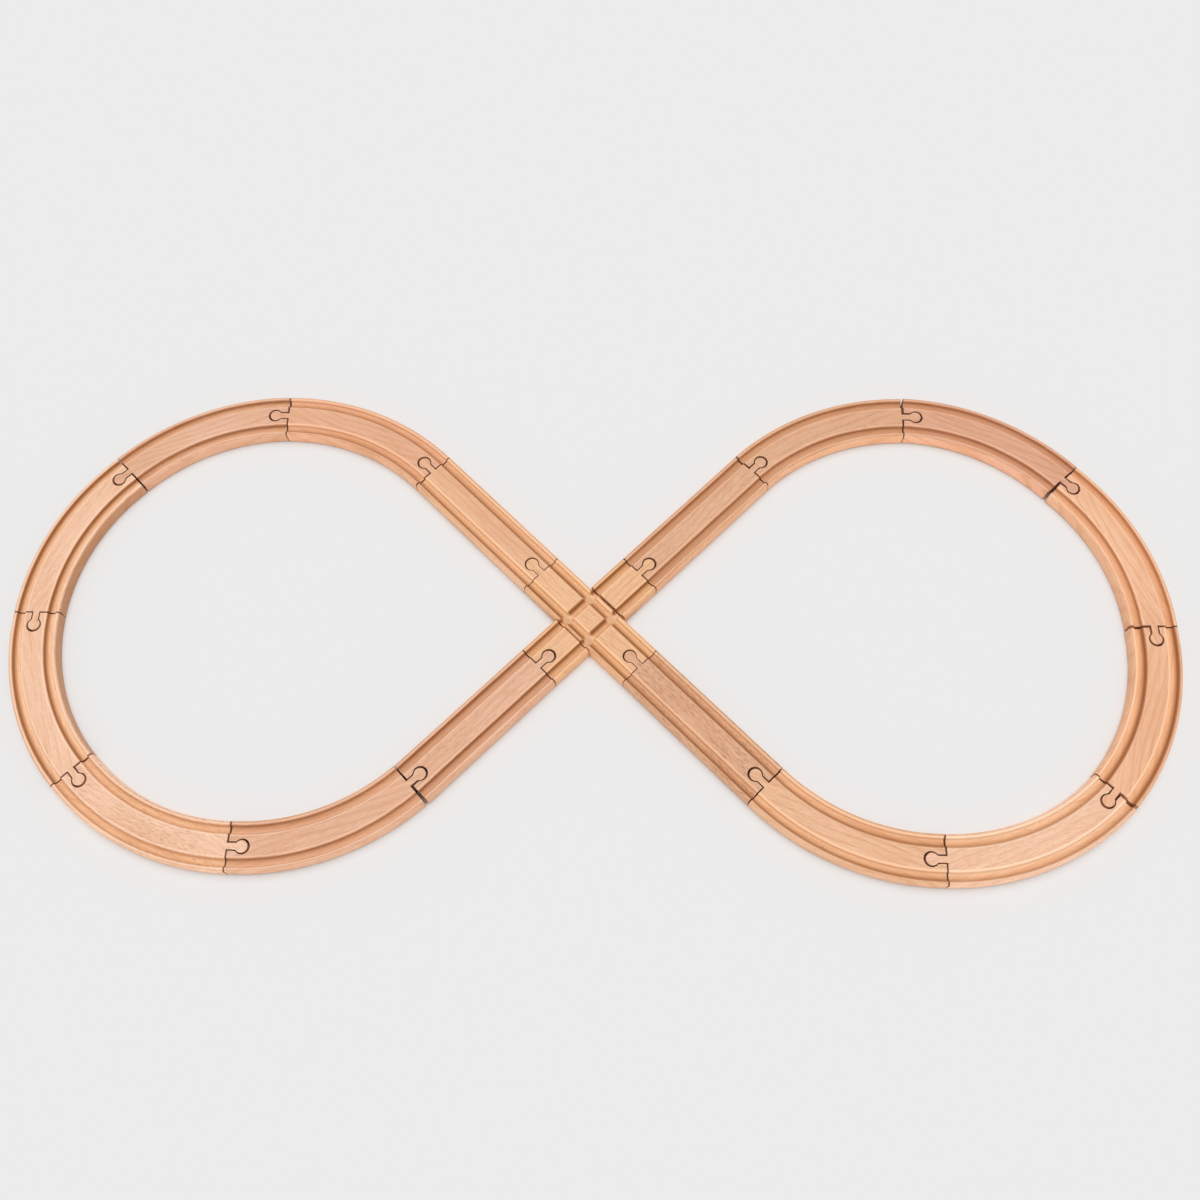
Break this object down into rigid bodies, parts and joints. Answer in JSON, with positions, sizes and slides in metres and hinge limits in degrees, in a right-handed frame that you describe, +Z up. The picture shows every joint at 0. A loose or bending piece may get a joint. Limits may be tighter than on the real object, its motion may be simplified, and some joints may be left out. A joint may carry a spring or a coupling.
{
  "type": "wooden train track",
  "caption": "Beech toy train track laid as a figure of eight: grooved curves and straights joined by pegs in keyhole sockets round a flat crossing; each piece lifts out.",
  "frame": {"origin": "on the table under the middle of the crossing, on its flat underside", "axes": "+Z up, +X along the through bar of the crossing towards its socket end, +Y along the arms towards the arm with the peg; the long axis of the figure of eight lies halfway between +X and +Y"},
  "size_m": [0.8282, 0.8116, 0.012],
  "materials": {
    "crossing_beech": "sanded beech, satin",
    "straight_beech": "sanded beech, satin",
    "left_curve_beech": "sanded beech, satin",
    "right_curve_beech": "sanded beech, satin",
    "dowel_beech": "plain turned beech"
  },
  "bodies": {
    "crossing": {"crossing_bar": "crossing_beech", "crossing_arm_right": "crossing_beech", "crossing_arm_left": "crossing_beech", "crossing_dowel_right_1": "dowel_beech", "crossing_dowel_right_2": "dowel_beech", "crossing_dowel_left_1": "dowel_beech", "crossing_dowel_left_2": "dowel_beech"},
    "left_straight_out": {"left_straight_out": "straight_beech"},
    "left_curve_1": {"left_curve_1": "left_curve_beech"},
    "left_curve_2": {"left_curve_2": "left_curve_beech"},
    "left_curve_3": {"left_curve_3": "left_curve_beech"},
    "left_curve_4": {"left_curve_4": "left_curve_beech"},
    "left_curve_5": {"left_curve_5": "left_curve_beech"},
    "left_curve_6": {"left_curve_6": "left_curve_beech"},
    "left_straight_back": {"left_straight_back": "straight_beech"},
    "right_straight_out": {"right_straight_out": "straight_beech"},
    "right_curve_1": {"right_curve_1": "right_curve_beech"},
    "right_curve_2": {"right_curve_2": "right_curve_beech"},
    "right_curve_3": {"right_curve_3": "right_curve_beech"},
    "right_curve_4": {"right_curve_4": "right_curve_beech"},
    "right_curve_5": {"right_curve_5": "right_curve_beech"},
    "right_curve_6": {"right_curve_6": "right_curve_beech"},
    "right_straight_back": {"right_straight_back": "straight_beech"}
  },
  "joints": [
    {"name": "left_straight_out_lift", "type": "slide", "parent": "crossing", "child": "left_straight_out", "axis": [0, 0, 1], "range_m": [0, 0.03]},
    {"name": "left_curve_1_lift", "type": "slide", "parent": "crossing", "child": "left_curve_1", "axis": [0, 0, 1], "range_m": [0, 0.03]},
    {"name": "left_curve_2_lift", "type": "slide", "parent": "crossing", "child": "left_curve_2", "axis": [0, 0, 1], "range_m": [0, 0.03]},
    {"name": "left_curve_3_lift", "type": "slide", "parent": "crossing", "child": "left_curve_3", "axis": [0, 0, 1], "range_m": [0, 0.03]},
    {"name": "left_curve_4_lift", "type": "slide", "parent": "crossing", "child": "left_curve_4", "axis": [0, 0, 1], "range_m": [0, 0.03]},
    {"name": "left_curve_5_lift", "type": "slide", "parent": "crossing", "child": "left_curve_5", "axis": [0, 0, 1], "range_m": [0, 0.03]},
    {"name": "left_curve_6_lift", "type": "slide", "parent": "crossing", "child": "left_curve_6", "axis": [0, 0, 1], "range_m": [0, 0.03]},
    {"name": "left_straight_back_lift", "type": "slide", "parent": "crossing", "child": "left_straight_back", "axis": [0, 0, 1], "range_m": [0, 0.03]},
    {"name": "right_straight_out_lift", "type": "slide", "parent": "crossing", "child": "right_straight_out", "axis": [0, 0, 1], "range_m": [0, 0.03]},
    {"name": "right_curve_1_lift", "type": "slide", "parent": "crossing", "child": "right_curve_1", "axis": [0, 0, 1], "range_m": [0, 0.03]},
    {"name": "right_curve_2_lift", "type": "slide", "parent": "crossing", "child": "right_curve_2", "axis": [0, 0, 1], "range_m": [0, 0.03]},
    {"name": "right_curve_3_lift", "type": "slide", "parent": "crossing", "child": "right_curve_3", "axis": [0, 0, 1], "range_m": [0, 0.03]},
    {"name": "right_curve_4_lift", "type": "slide", "parent": "crossing", "child": "right_curve_4", "axis": [0, 0, 1], "range_m": [0, 0.03]},
    {"name": "right_curve_5_lift", "type": "slide", "parent": "crossing", "child": "right_curve_5", "axis": [0, 0, 1], "range_m": [0, 0.03]},
    {"name": "right_curve_6_lift", "type": "slide", "parent": "crossing", "child": "right_curve_6", "axis": [0, 0, 1], "range_m": [0, 0.03]},
    {"name": "right_straight_back_lift", "type": "slide", "parent": "crossing", "child": "right_straight_back", "axis": [0, 0, 1], "range_m": [0, 0.03]}
  ]
}
